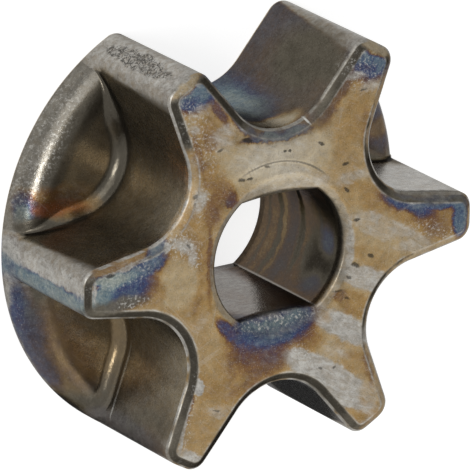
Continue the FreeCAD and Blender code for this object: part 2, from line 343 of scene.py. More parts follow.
def star_surface(sizes):
    """The whole sprocket as one ring of sections: rows of the section by stations of the outline.

    A section runs up the shaft hole, out over the lead-in cone and the front face, over the bevel, down the
    wall, out over the flange and back under the part. Returns the points, the band that each row is in, and
    for each station its distance from a tip along the outline and whether its gap is open.
    """
    outline, normal, run = star_outline(sizes, STATIONS)
    angle = np.arctan2(outline[:, 1], outline[:, 0])
    top = sizes.thickness
    ray = np.stack([np.cos(angle), np.sin(angle)], axis=1)

    def ring(plan, height):
        """Ring of points over a plan outline at a height."""
        return np.column_stack([plan, np.zeros(STATIONS) + height])

    hole = np.minimum(sizes.bore_diameter / 2, sizes.across_flats / 2 / np.maximum(np.abs(ray[:, 1]), 1e-6))
    mouth = sizes.bore_diameter / 2 + sizes.lead_in_width
    cone_foot = top - (mouth - hole) * sizes.lead_in_depth / sizes.lead_in_width
    hole_back = ring(ray * hole[:, None], 0)
    hole_front = ring(ray * hole[:, None], cone_foot)
    hole_mouth = ring(ray * mouth, top)

    edge = [ring(outline - normal * inset * MM, top - drop * MM) for inset, drop, _, _ in FRONT_EDGE]
    wall_top = [ring(outline, top - drop * MM) for drop in WALL_TOP]
    floor, is_open = floor_lines(sizes, outline, angle)
    floor = even_rows(floor, FLOOR_ROWS)
    rim = floor[-1]
    broken = np.linspace(0, math.pi / 2, 4)[:, None]
    rim_radius = np.hypot(rim[:, 0], rim[:, 1])
    inset = rim_radius - BACK_BREAK * MM * (1 - np.cos(broken))
    lift = BACK_BREAK * MM * (1 - np.sin(broken)) + np.zeros_like(inset)
    back_edge = np.stack([inset * ray[:, 0], inset * ray[:, 1], lift], axis=2)
    # The floor's rows stay above the broken edge, each over the next.
    lowest = BACK_BREAK * MM * (1.1 + 0.5 * np.linspace(1, 0, FLOOR_ROWS)[:, None])
    floor[:, :, 2] = np.maximum(floor[:, :, 2], lowest)

    bands = [
        ("bore", rows_between(hole_back, hole_front, BORE_ROWS)),
        ("cone", rows_between(hole_front, hole_mouth, CONE_ROWS)),
        ("face", rows_between(hole_mouth, edge[0], FACE_ROWS)),
        ("bevel", np.stack(edge)),
        ("wall", np.concatenate([wall_top, rows_between(wall_top[-1], floor[0], WALL_ROWS)[1:]])),
        ("floor", floor),
        ("back", np.concatenate([back_edge, rows_between(back_edge[-1], hole_back, BACK_ROWS)[1:]])),
    ]
    points = np.concatenate([rows for _, rows in bands])
    points[:, :, 2] -= worn_crescent(points) * (points[:, :, 2] > top - 1e-7)
    band = np.concatenate([np.full(len(rows), name) for name, rows in bands])
    return points, band, run, is_open


def ring_faces(rows, stations):
    """Quads of a grid that closes on itself both ways, facing outwards."""
    row, station = np.meshgrid(np.arange(rows), np.arange(stations), indexing="ij")
    next_row, next_station = (row + 1) % rows, (station + 1) % stations
    corners = (row, station), (next_row, station), (next_row, next_station), (row, next_station)
    return np.stack([r * stations + s for r, s in corners], axis=-1).reshape(-1, 4)


def ripple(points, size, seed):
    """Smooth uneven field between about -1 and 1: a sum of waves of about one length in seeded directions."""
    chance = np.random.default_rng(seed)
    waves = chance.normal(size=(10, 3)) * (2 * math.pi / size / 1.7)
    shifts = chance.uniform(0, 2 * math.pi, 10)
    return np.sin(points @ waves.T + shifts).sum(axis=-1) / 3.2


# Levels on each surface before its marks: temper, bare metal, soot, pitting and roughness.
COATS = {
    "back": (0.2, 0.4, 0.1, 0.1, 0.42),
    "bore": (0.5, 0.05, 0.62, 0.0, 0.17),
    "cone": (0.24, 0.5, 0.3, 0.0, 0.36),
    "face": (0.27, 0.18, 0.08, 0.0, 0.4),
    "bevel": (0.52, 0.3, 1.6, 0.0, 0.45),
    "worn_line": (0.2, 1.5, 0.0, 0.0, 0.35),
    "pocket_wall": (0.24, 0.45, 0.68, 0.0, 0.27),
    "pocket_floor": (0.24, 0.4, 0.8, 0.0, 0.27),
    # Hollow by the rim and fillet: soot that is partly oxide and partly painted shade.
    "hollow": (0.45, 0.1, 1.25, 0.0, 0.3),
    "fillet": (0.34, 0.15, 1.3, 0.0, 0.19),
    "open_wall": (0.62, 0.1, 0.65, 0.0, 0.28),
    "rim": (0.3, 1.0, 0.75, 0.1, 0.24),
    "corner": (0.3, 0.85, 0.35, 0.0, 0.38),
    "land": (0.3, 1.0, 0.05, 0.15, 0.42),
}
LEVELS = ("temper", "bare", "soot_and_shade", "pitting", "satin")


def steel_values(sizes, points, band, run, is_open):
    """Levels at every point: the coat of each surface laid over the last, with smooth and uneven borders.

    Places and limits are in millimetres. The bare corner of a tooth widens towards the front face, and at
    its foot where it runs into a rim. The coats of the hollow narrow where its fillet does.
    """
    place = points / MM
    uneven = ripple(place, 1.9, 3) + 0.6 * ripple(place, 0.8, 5)
    height = place[..., 2]
    radius = np.hypot(place[..., 0], place[..., 1])
    angle = np.arctan2(place[..., 1], place[..., 0])
    depth = gap_distance(sizes, radius * MM, angle) / MM
    along = run / MM
    names = ("bore", "cone", "face", "bevel", "wall", "floor")
    on = {name: (band == name)[:, None].astype(float) for name in names}
    side = on["wall"] + on["floor"]
    dark, worn = np.zeros((2, len(band), 1))
    dark[band == "bevel", 0], worn[band == "bevel", 0] = np.array(FRONT_EDGE).T[2:]
    foot = 1.15 + 0.12 * height + 0.05 * uneven + 0.8 * ~is_open * step(-height, -1.8, -0.9)
    hollow = depth * sizes.floor_fillet / fillet_radius(sizes, radius * MM, angle)
    layers = (
        ("bore", on["bore"]),
        ("cone", on["cone"]),
        ("face", on["face"] + on["bevel"]),
        ("bevel", dark),
        ("pocket_wall", side * ~is_open),
        ("pocket_floor", on["floor"] * ~is_open * step(-height, -2.9, -2.2)),
        # Hollow by the rim and fillet: partly oxide, partly painted shade.
        ("hollow", on["floor"] * ~is_open * step(radius, 12.1, 13.0) * step(hollow, 0.6, 1.2)),
        ("fillet", on["floor"] * ~is_open * (1 - step(hollow, 0.75, 1.15)) * step(-height, -3.05, -2.7)),
        ("open_wall", side * is_open),
        ("rim", on["floor"] * ~is_open * step(radius + 0.06 * uneven, 13.7, 14.15) * step(hollow, 0.3, 0.9)),
        ("corner", side * (1 - step(along, foot, foot + 0.35))),
        ("land", side * (1 - step(along + 0.1 * uneven, 0.8, 1.4))),
        ("worn_line", worn * np.clip(0.7 + 0.5 * uneven, 0, 1)),
    )
    value = np.zeros(place.shape[:2] + (len(LEVELS),)) + np.array(COATS["back"])
    for coat, weight in layers:
        value = value + (np.array(COATS[coat]) - value) * weight[..., None]
    return dict(zip(LEVELS, np.moveaxis(value, -1, 0)))


# Height of the front face in millimetres.
FRONT = 10.0
# Places with marks of more than one kind: centre and half sizes in millimetres, turn about Z in degrees.
# A number in a name is the place's angle. A mark adds its value and the softness of its edge.
BEVEL_330 = (12.0, -7.0, 9.75), (9.0, 5.5, 0.7), 60
BEVEL_150 = (-7.4, 5.2, 9.75), (1.7, 4.2, 0.5), -20
BEVEL_50 = (7.8, 9.2, 9.75), (3.6, 0.8, 0.6), 70
TIP_120 = (-7.3, 12.9, 9.8), (1.5, 0.6, 0.5), 30
TIP_60 = (7.3, 12.9, 9.8), (1.5, 0.6, 0.5), -30
RIM_30 = (13.4, 5.0, 1.5), (2.6, 3.2, 1.2), 0
FLANK_0 = (12.0, 2.4, 6.6), (4.0, 1.1, 3.8), -10
FLANK_240 = (-8.2, -10.6, 6.0), (1.6, 1.8, 4.0), 0
HOLE_FLAT = (-0.6, -4.1, 4.0), (2.9, 0.5, 6.0), 0
HOLE_SPOT = (5.0, -0.5, 8.1), (0.5, 1.1, 0.9), 0
LOWER_SPOT = (3.8, -3.2, 7.8), (0.6, 1.0, 1.0), 0


def front(x, y, long, wide, turn, value, soft=0.9):
    """Mark on the front face."""
    return (x, y, FRONT), (long, wide, 1.6), turn, value, soft


def hole_ring(height, half, value, soft):
    """Mark round the right-hand side of the hole."""
    return (4.2, 0.0, height), (2.0, 5.5, half), 0, value, soft


# Temper runs from 0, hardly heated, over straw, gold, brown, purple and blue to 1, teal grey. One mark paints
# a highlight instead, as noted.
HEAT_AND_PAINTED_LIGHT_MARKS = (
    # Bevels that are about as light as the face.
    (*BEVEL_330, 0.27, 0.3),
    (*BEVEL_150, 0.3, 0.5),
    (*BEVEL_50, 0.34, 0.5),
    # Tooth at 120 degrees.
    front(-6.0, 9.3, 1.3, 1.2, 60, 0.34, 0.7),
    front(-5.5, 8.9, 0.6, 0.9, 0, 0.39, 0.7),
    front(-6.4, 8.0, 0.3, 1.4, 18, 0.42, 0.7),
    front(-5.3, 6.4, 1.2, 0.9, -50, 0.42, 0.7),
    front(-4.2, 5.1, 0.8, 0.7, -45, 0.47, 0.7),
    front(-3.8, 4.5, 0.5, 0.5, 0, 0.54, 0.7),
    front(-5.2, 4.3, 0.8, 1.5, -25, 0.43),
    front(-4.9, 10.7, 1.4, 0.3, -56, 0.52, 1.0),
    front(-6.8, 12.3, 1.75, 1.35, 12, 0.77),
    front(-7.1, 11.7, 0.7, 0.3, 12, 0.68, 1.0),
    # Bridge over the hole and the tooth at 60 degrees.
    front(0.0, 6.8, 4.0, 1.8, 0, 0.08, 1.2),
    front(5.4, 8.2, 1.2, 2.6, -25, 0.33, 0.8),
    front(6.5, 7.0, 0.4, 2.2, 3, 0.38),
    front(4.3, 10.2, 2.0, 0.5, 55, 0.46, 1.0),
    front(6.4, 11.2, 1.5, 0.6, -15, 0.5),
    front(6.7, 12.2, 1.75, 1.15, -25, 0.77, 0.8),
    front(6.5, 11.6, 0.8, 0.3, -10, 0.68, 1.0),
    # Web at the right and the tooth at 0 degrees.
    front(6.1, 3.0, 2.0, 0.9, -22, 0.34, 0.5),
    front(9.6, 1.0, 2.0, 0.5, -35, 0.36),
    front(12.4, -0.2, 1.4, 1.0, -10, 0.4),
    front(11.2, 0.6, 1.2, 0.6, -25, 0.48),
    front(9.8, 1.7, 2.2, 0.5, -28, 0.7),
    front(12.6, 1.3, 2.2, 0.5, -10, 0.74, 0.8),
    front(14.0, 0.0, 0.6, 1.4, 0, 0.8, 0.8),
    front(12.9, 0.2, 0.4, 0.6, 0, 0.4),
    front(7.4, -1.6, 2.0, 0.75, -27, 0.32, 0.4),
    front(5.8, -4.4, 1.6, 0.75, -25, 0.37, 0.3),
    front(4.5, -3.7, 0.5, 0.4, -25, 0.45, 0.8),
    front(5.9, -8.5, 1.5, 0.7, -32, 0.32, 0.4),
    # Tooth at 300 degrees.
    front(6.3, -12.0, 1.9, 0.9, -25, 0.36, 0.8),
    front(6.9, -9.2, 0.3, 1.4, 15, 0.42),
    # Tooth at 180 degrees and its web.
    front(-7.0, 3.6, 0.7, 1.4, -35, 0.38),
    front(-7.0, -1.0, 2.6, 3.8, 10, 0.31),
    front(-6.3, 0.0, 0.9, 3.6, 5, 0.36),
    front(-7.9, -0.4, 1.5, 1.7, 0, 0.22, 0.35),
    front(-10.0, -0.6, 1.1, 0.9, 0, 0.35, 0.5),
    front(-11.0, -0.6, 0.9, 0.8, 0, 0.44),
    front(-12.9, 0.0, 3.0, 1.5, 8, 0.72, 0.7),
    front(-10.4, 1.2, 1.8, 0.6, 20, 0.72),
    front(-13.8, 0.2, 1.0, 1.3, 0, 0.86, 1.0),
    front(-13.1, 0.8, 1.9, 0.5, 4, 0.92, 1.0),
    front(-12.2, 1.75, 2.4, 0.4, 9, 0.4, 0.5),
    front(-9.4, 2.2, 0.8, 0.4, 30, 0.74, 0.8),
    # Tooth at 240 degrees, its web and the edge of the hole beside it.
    front(-5.4, -5.2, 1.3, 1.6, 30, 0.3, 0.8),
    front(-4.8, -7.8, 1.9, 2.0, 0, 0.33),
    front(-2.2, -8.3, 1.9, 0.6, 22, 0.42),
    front(-6.4, -10.9, 1.2, 1.7, -30, 0.31, 0.8),
    front(-7.0, -8.8, 0.25, 2.2, -12, 0.48),
    front(-5.5, 0.3, 0.25, 2.8, 0, 0.46),
    # Below the hole, hottest at its flat.
    front(2.2, -6.1, 1.2, 0.7, -20, 0.44),
    front(-1.2, -6.9, 2.6, 1.0, 0, 0.45),
    front(-1.8, -6.3, 2.2, 0.8, -10, 0.53),
    front(-0.5, -4.9, 3.4, 1.25, 0, 0.66, 0.7),
    front(-0.5, -5.1, 2.6, 0.7, 0, 0.72, 0.8),
    front(-0.4, -4.2, 2.9, 0.65, 0, 0.84),
    front(-4.0, -4.3, 1.3, 0.45, -42, 0.66, 0.8),
    # Bevels of the gap at 90 degrees and of the two tips beside it.
    ((-0.4, 8.3, 9.8), (2.8, 0.45, 0.5), 0, 0.78, 0.6),
    ((-3.2, 9.8, 9.8), (2.2, 0.5, 0.5), -50, 0.66, 0.6),
    (*TIP_120, 0.18, 0.7),
    (*TIP_60, 0.18, 0.7),
    # Land of the tooth at 180 degrees.
    ((-15.0, 0.55, 5.0), (1.2, 0.35, 7.0), 0, 0.12, 0.8),
    ((-15.0, -0.8, 5.0), (1.2, 0.95, 7.0), 0, 0.86, 0.8),
    ((-15.0, 0.3, 1.0), (1.4, 1.0, 1.6), 0, 0.82, 0.9),
    # Pocket at 150 degrees: gold, orange, purple and blue at the foot of the tooth at 180 degrees.
    ((-10.8, 3.5, 2.4), (2.8, 1.2, 1.1), -8, 0.38, 0.9),
    ((-12.2, 3.6, 2.2), (2.0, 1.1, 1.0), -8, 0.44, 0.9),
    ((-13.3, 3.1, 1.9), (0.6, 0.6, 0.9), 0, 0.58, 0.9),
    ((-14.2, 3.5, 1.2), (0.8, 1.0, 1.1), 15, 0.66, 0.9),
    ((-14.1, 2.7, 1.3), (0.6, 0.7, 0.9), 0, 0.88, 0.9),
    # Pocket at 210 degrees: brown floor and flank, blue rim.
    ((-11.2, -6.6, 1.9), (2.0, 3.6, 0.8), 32, 0.43, 0.9),
    (*FLANK_240, 0.42, 1.0),
    ((-14.1, -4.3, 1.1), (1.2, 4.2, 1.3), 18, 0.68, 0.9),
    ((-12.6, -8.0, 1.1), (0.8, 3.0, 1.3), 32, 0.64, 1.0),
    ((-8.9, -12.0, 4.0), (1.4, 1.4, 6.0), 0, 0.66, 0.8),
    # Wall of the gap at 90 degrees.
    ((-0.6, 8.4, 3.4), (3.6, 1.6, 4.2), 0, 0.84, 1.0),
    ((3.2, 10.8, 4.0), (2.0, 2.4, 3.4), 0, 0.56, 1.0),
    ((4.2, 12.0, 7.6), (2.0, 2.2, 2.6), 0, 0.5, 1.0),
    ((2.6, 9.4, 8.4), (1.6, 1.6, 1.8), 0, 0.54, 1.0),
    # Pale strip near the wall's front edge: painted highlight.
    ((0.2, 8.7, 8.8), (2.2, 0.8, 0.8), 0, 0.12, 1.0),
    # Rim of the pocket at 30 degrees.
    (*RIM_30, 0.62, 0.7),
    ((13.2, 4.0, 1.4), (1.2, 0.8, 1.4), 0, 0.4, 0.9),
    # Rings and spots inside the hole, and its lower flat.
    hole_ring(0.6, 0.6, 0.43, 0.6),
    hole_ring(1.9, 0.4, 0.44, 0.6),
    hole_ring(3.05, 0.2, 0.37, 0.6),
    hole_ring(4.1, 0.6, 0.58, 0.6),
    ((4.2, 0.5, 6.2), (2.0, 3.5, 1.0), 0, 0.47, 0.9),
    ((4.6, 1.0, 7.2), (1.2, 3.0, 0.25), 0, 0.66, 0.9),
    (*HOLE_SPOT, 0.72, 1.2),
    (*LOWER_SPOT, 0.7, 1.2),
    ((4.4, 2.6, 6.0), (0.8, 1.4, 1.0), 0, 0.56, 1.0),
    (*HOLE_FLAT, 0.55, 0.8),
)

# Bare metal from 0, tinted all over, to 1 and more, grey all over. Some marks paint light instead, as noted
# at each.
BARE_AND_PAINTED_LIGHT_MARKS = (
    front(-6.5, 10.9, 1.0, 0.45, 10, 0.55),
    front(-6.8, 9.7, 0.5, 0.3, -20, 0.55, 1.0),
    front(-4.4, 9.2, 0.9, 0.5, 20, 0.6),
    front(-4.5, 8.3, 0.7, 0.6, 0, 0.55),
    front(-6.3, 4.9, 0.5, 0.9, -10, 0.75),
    front(-1.0, 7.2, 2.8, 0.9, 5, 0.45, 1.1),
    front(1.4, 5.3, 2.6, 0.6, -20, 0.5, 0.5),
    front(0.3, 4.6, 3.0, 0.25, 0, 0.6, 0.7),
    front(5.6, 11.2, 0.7, 0.25, 0, 0.8),
    front(6.7, 10.4, 0.8, 0.35, 0, 0.65),
    front(5.4, 4.4, 1.4, 0.4, 0, 0.55),
    front(7.4, 0.7, 2.1, 0.8, -27, 0.55, 0.4),
    front(9.0, 0.2, 2.6, 0.4, -30, 0.6, 0.8),
    front(10.2, -1.2, 1.5, 0.5, -5, 0.6),
    front(6.6, -2.8, 2.2, 0.8, -22, 0.85, 0.4),
    front(5.3, -6.0, 2.9, 0.85, -28, 0.95, 0.4),
    front(4.2, -7.3, 1.2, 0.5, -30, 0.5, 1.0),
    front(3.9, -9.3, 4.3, 1.2, -36, 0.95, 0.3),
    front(7.0, -10.8, 0.8, 0.9, 0, 0.5),
    front(1.7, -7.3, 0.9, 0.6, -40, 0.95, 0.3),
    front(3.2, -4.8, 0.8, 0.5, -20, 0.6, 0.8),
    front(5.35, -0.5, 0.25, 2.2, 0, 0.8),
    front(-0.4, -4.4, 3.0, 0.8, 0, 0.1, 0.5),
    front(-7.5, 2.2, 0.9, 0.5, -20, 0.8),
    front(-6.8, 1.2, 0.35, 0.5, 0, 0.75),
    front(-8.7, 2.2, 0.3, 0.25, 0, 1.0, 0.8),
    front(-6.2, -3.4, 0.9, 0.5, 30, 0.45, 1.0),
    front(-6.3, -7.7, 0.35, 0.55, 10, 1.3, 0.6),
    front(-4.9, -9.7, 1.0, 0.35, -10, 0.5),
    front(-6.7, -12.5, 1.1, 0.35, -30, 0.9, 0.8),
    front(-7.4, -10.4, 0.18, 2.0, -12, 0.9),
    front(-14.25, 0.2, 0.08, 1.0, 0, 1.0),
    front(-11.9, 1.45, 1.9, 0.12, 10, 0.8),
    # Land of the tooth at 180 degrees, flank of the tooth at 0 degrees, rim of the pocket at 30 degrees and
    # lower flat of the hole.
    ((-15.0, -0.6, 5.0), (1.2, 1.0, 7.0), 0, 0.3, 0.8),
    ((-15.0, 0.3, 5.5), (1.2, 0.3, 4.5), 0, 1.0, 0.9),
    # Flank of the tooth at 0 degrees, bare: painted light.
    (*FLANK_0, 1.0, 0.5),
    (*RIM_30, 0.1, 0.7),
    # Lower flat of the hole, bare: painted reflection of the white seen through the hole.
    (*HOLE_FLAT, 0.75, 0.6),
    # Rims of the pockets at 210 and 150 degrees and a corner of the tooth at 240 degrees: they keep their
    # tint.
    ((-12.8, -6.6, 1.4), (2.0, 6.5, 1.2), 32, 0.12, 0.5),
    ((-8.9, -12.0, 4.0), (1.5, 1.5, 6.0), 0, 0.1, 0.5),
    ((-14.0, 3.4, 1.3), (1.0, 1.2, 1.2), 10, 0.2, 0.8),
)

# Dark oxide from 0, none, over 1, sooty all over, to 2, nearly black. Some marks paint shade or light
# instead, as noted at each.
SOOT_AND_PAINTED_LIGHT_MARKS = (
    # Walls of the gap at 270 degrees, nearly black: painted shade.
    ((0.0, -11.5, 5.0), (7.0, 4.0, 5.0), 0, 1.9, 0.4),
    # Flank of the tooth at 0 degrees, kept clean: painted light.
    (*FLANK_0, 0.05, 0.5),
    (*RIM_30, 0.5, 0.7),
    # Wall of the gap at 90 degrees: lighter low down, a painted reflection; darker higher up, towards the
    # tooth at 60 degrees.
    ((-1.0, 8.6, 2.4), (3.2, 1.4, 3.6), 0, 0.1, 1.1),
    ((4.0, 12.0, 6.4), (2.0, 2.6, 3.6), 0, 1.1, 1.0),
    ((2.6, 9.6, 8.6), (1.8, 1.6, 1.6), 0, 0.8, 1.0),
    # Light strip near the front edge of that wall: painted highlight.
    ((0.2, 8.7, 8.8), (2.2, 0.8, 0.9), 0, 0.35, 1.0),
    ((-13.6, -5.6, 1.2), (1.3, 5.5, 1.3), 24, 0.2, 0.9),
    ((-12.0, -6.4, 1.9), (0.7, 4.5, 0.8), 32, 1.0, 0.9),
    ((-9.8, -11.2, 2.0), (2.2, 2.0, 3.4), 0, 1.1, 0.8),
    (*FLANK_240, 0.95, 1.0),
    ((-8.9, -12.0, 5.0), (1.2, 1.2, 5.0), 0, 0.8, 0.8),
    ((-14.2, 3.6, 1.2), (0.8, 1.0, 1.1), 15, 0.5, 0.9),
    ((-12.0, 3.5, 2.1), (3.2, 1.1, 1.1), -8, 0.1, 0.9),
    ((-13.4, 2.0, 1.6), (1.3, 0.5, 0.9), 0, 1.3, 0.8),
    hole_ring(0.6, 0.6, 0.6, 0.6),
    hole_ring(1.9, 0.4, 0.6, 0.6),
    hole_ring(1.25, 0.14, 0.9, 0.8),
    hole_ring(2.6, 0.24, 1.0, 0.8),
    hole_ring(4.2, 0.6, 0.7, 0.8),
    ((4.7, -1.0, 8.0), (0.5, 4.5, 1.9), 0, 1.0, 1.0),
    ((4.6, 0.5, 5.1), (1.2, 4.0, 0.3), 0, 1.2, 0.9),
    ((4.5, -2.1, 7.6), (0.9, 1.9, 1.5), 0, 1.6, 1.2),
    (*HOLE_SPOT, 0.5, 1.2),
    (*LOWER_SPOT, 0.7, 1.2),
    ((4.6, 1.5, 9.2), (1.2, 3.0, 0.5), 0, 1.3, 0.9),
    ((-10.6, -6.2, 4.0), (4.4, 4.4, 5.0), 0, 0.55, 0.6),
    # Lighter wall beside the fillet of the pocket at 150 degrees: painted reflection.
    ((-8.6, 5.6, 3.8), (1.8, 1.8, 1.6), 0, 0.45, 1.0),
    # Lower flat of the hole, kept clean: painted reflection.
    (*HOLE_FLAT, 0.1, 0.6),
    front(-12.7, -1.0, 2.4, 0.55, 2, 0.95, 0.8),
    (*BEVEL_150, 0.12, 0.5),
    (*BEVEL_330, 0.15, 0.3),
    (*BEVEL_50, 0.3, 0.5),
    ((11.6, 2.1, 9.75), (3.2, 0.7, 0.6), -10, 0.7, 0.6),
    ((-11.6, 1.9, 9.8), (3.0, 0.7, 0.5), 12, 0.2, 0.5),
    ((-0.3, 8.6, 9.8), (3.4, 1.0, 0.5), 0, 0.55, 0.6),
    (*TIP_120, 0.3, 0.7),
    (*TIP_60, 0.4, 0.7),
)

# Thin bright lines: a painted highlight along the top of a pocket's fillet, a corner of the hole and a
# scratch on a bevel.
LINES = (
    ((-7.65, -9.09, 3.02), (2.4, 0.3, 0.09), 70, 1.0, 0.9),
    ((2.93, -4.05, 5.0), (0.12, 0.12, 5.5), 0, 0.45, 0.9),
    ((1.95, 8.8, 9.8), (0.34, 0.07, 0.4), -50, 1.0, 0.9),
)

# Orange places at the foot of the tooth at 180 degrees.
EMBER_MARKS = (
    ((-12.5, 3.0, 1.9), (1.2, 0.4, 0.8), -8, 0.6, 0.9),
    ((-11.2, 3.2, 2.1), (1.5, 0.4, 0.8), -12, 0.5, 0.9),
)

# Places with small white flecks.
FLECKED_MARKS = (
    front(-7.6, 2.2, 1.3, 0.9, -20, 1.0),
    front(-6.6, 1.0, 0.5, 0.9, 0, 0.8),
    front(-6.4, 9.6, 0.9, 3.2, 22, 0.75),
    front(-6.2, 4.8, 0.6, 1.4, -10, 0.7),
    front(-6.85, -9.4, 0.22, 2.8, -12, 0.8),
    front(1.6, -7.2, 1.2, 0.7, -40, 0.9),
    front(6.1, 11.4, 1.5, 1.2, -15, 0.65),
    front(11.8, -0.4, 2.2, 0.5, -20, 0.7),
    front(-11.2, -1.0, 1.4, 0.5, 0, 0.8),
    front(-12.0, 0.9, 2.4, 0.7, 8, 0.65),
    front(-0.4, -4.4, 2.8, 0.55, 0, 1.0),
    ((-12.7, 7.3, 1.2), (6.0, 1.3, 1.3), 60, 0.5, 0.8),
)

# Places with clusters of small pits.
PITTED_MARKS = (
    ((-7.5, 13.0, 4.6), (1.2, 0.8, 4.0), 120, 1.0, 0.8),
    ((7.3, 13.1, 6.0), (1.2, 0.9, 3.6), 60, 0.6, 0.8),
    ((-14.8, 1.0, 6.5), (1.0, 0.5, 3.0), 0, 0.6, 0.8),
)

# Pits on the front face: centre, half sizes, turn and depth.
PITS = (
    (-2.75, 8.35, 0.4, 0.14, -20, 1.0),
    (2.95, 7.1, 0.28, 0.1, -25, 1.0),
    (0.25, 7.1, 0.14, 0.09, 0, 1.0),
    (0.62, 7.02, 0.14, 0.08, 0, 1.0),
    (-3.1, 5.75, 0.26, 0.12, -15, 1.0),
    (-2.5, 5.7, 0.26, 0.09, 10, 1.0),
    (-1.1, 6.25, 0.3, 0.1, -10, 0.8),
    (4.85, 5.4, 0.26, 0.12, 10, 1.0),
    (5.0, 3.65, 0.26, 0.13, -50, 1.0),
    (-4.8, 8.0, 0.24, 0.09, 20, 0.8),
    (6.2, 10.2, 0.26, 0.09, 0, 0.8),
    (5.85, 1.35, 0.26, 0.12, -10, 1.0),
    (5.8, -1.7, 0.34, 0.17, -20, 1.0),
    (6.95, -1.3, 0.24, 0.12, -30, 1.0),
    (5.3, -2.45, 0.22, 0.1, -30, 0.9),
    (5.15, -3.9, 0.22, 0.1, -20, 0.9),
    (4.4, -3.3, 0.3, 0.08, 0, 0.8),
    (4.2, -8.4, 0.13, 0.09, 0, 0.8),
    (3.1, -8.3, 0.16, 0.09, -30, 0.8),
    (-13.0, 1.15, 0.36, 0.12, 0, 1.0),
    (-6.6, 5.3, 0.22, 0.1, 30, 0.8),
    (-4.9, -9.6, 0.3, 0.07, -15, 0.8),
    (-7.1, 2.0, 0.22, 0.09, -40, 0.8),
)


def add_node(tree, kind, inputs=None, **settings):
    """Node with its settings, its sockets set to values or linked from other sockets."""
    made = tree.nodes.new(kind)
    for name, value in settings.items():
        setattr(made, name, value)
    for name, value in (inputs or {}).items():
        socket = made.inputs[name]
        if isinstance(value, bpy.types.NodeSocket):
            tree.links.new(value, socket)
        else:
            socket.default_value = value
    return made


def joined(tree, first, second, operation="ADD", clamp=False):
    """Two values joined by an operation, a sum unless another is named."""
    inputs = {0: first, 1: second}
    return add_node(tree, "ShaderNodeMath", inputs, operation=operation, use_clamp=clamp).outputs[0]


def mixed(tree, share, first, second, blend="MIX"):
    """Two colours mixed by a share."""
    inputs = {0: share, 6: first, 7: second}
    return add_node(tree, "ShaderNodeMix", inputs, data_type="RGBA", blend_type=blend).outputs[2]


def spread(tree, value, low, high, to_low=0.0, to_high=1.0):
    """Value carried smoothly from one range to another and held at its ends."""
    inputs = {"Value": value, "From Min": low, "From Max": high, "To Min": to_low, "To Max": to_high}
    return add_node(tree, "ShaderNodeMapRange", inputs, interpolation_type="SMOOTHSTEP").outputs[0]


def grain(tree, place, scale, detail=3.0, roughness=0.55, distortion=0.0):
    """Noise from 0 to 1 with a number of features to the millimetre."""
    inputs = {"Vector": place, "Scale": scale, "Detail": detail, "Roughness": roughness}
    return add_node(tree, "ShaderNodeTexNoise", {**inputs, "Distortion": distortion}).outputs["Fac"]


def swing(tree, noise, amount):
    """Noise centred on nought and scaled."""
    return joined(tree, joined(tree, noise, 0.5, "SUBTRACT"), amount, "MULTIPLY")


def streaked(tree, place, turn, long, wide):
    """Coordinates turned about Z, then drawn out along the turned X and drawn in across it."""
    inputs = {"Vector": place, "Rotation": (0, 0, math.radians(turn)), "Scale": (long, wide, wide)}
    return add_node(tree, "ShaderNodeMapping", inputs, vector_type="TEXTURE").outputs[0]


def vertex_value(tree, name):
    """Value of one kind that the mesh holds at its vertices."""
    return add_node(tree, "ShaderNodeAttribute", attribute_name=name).outputs["Fac"]


def patch(tree, place, centre, half_sizes, turn, soft):
    """One inside an ellipsoid turned about Z, falling smoothly to nought across its edge."""
    outer = 1 + soft / 2
    ball = add_node(tree, "ShaderNodeTexGradient", {"Vector": place}, gradient_type="SPHERICAL")
    ball.texture_mapping.vector_type = "TEXTURE"
    ball.texture_mapping.translation = centre
    ball.texture_mapping.rotation = (0, 0, math.radians(turn))
    ball.texture_mapping.scale = [half * outer for half in half_sizes]
    return spread(tree, ball.outputs["Fac"], 0, soft / outer)


def lay_marks(tree, place, value, marks):
    """Value drawn towards each mark's own value in turn, inside its patch."""
    for centre, half_sizes, turn, target, soft in marks:
        share = patch(tree, place, centre, half_sizes, turn, soft)
        value = add_node(tree, "ShaderNodeMix", {0: share, 2: value, 3: target}, data_type="FLOAT").outputs[0]
    return value


def shifted(tree, place, offset, amount):
    """Coordinates moved by an uneven offset."""
    inputs = {0: offset, 1: (amount,) * 3, 2: place}
    return add_node(tree, "ShaderNodeVectorMath", inputs, operation="MULTIPLY_ADD").outputs[0]


def opaque(shade):
    """Colour with full cover."""
    return (*shade, 1.0)


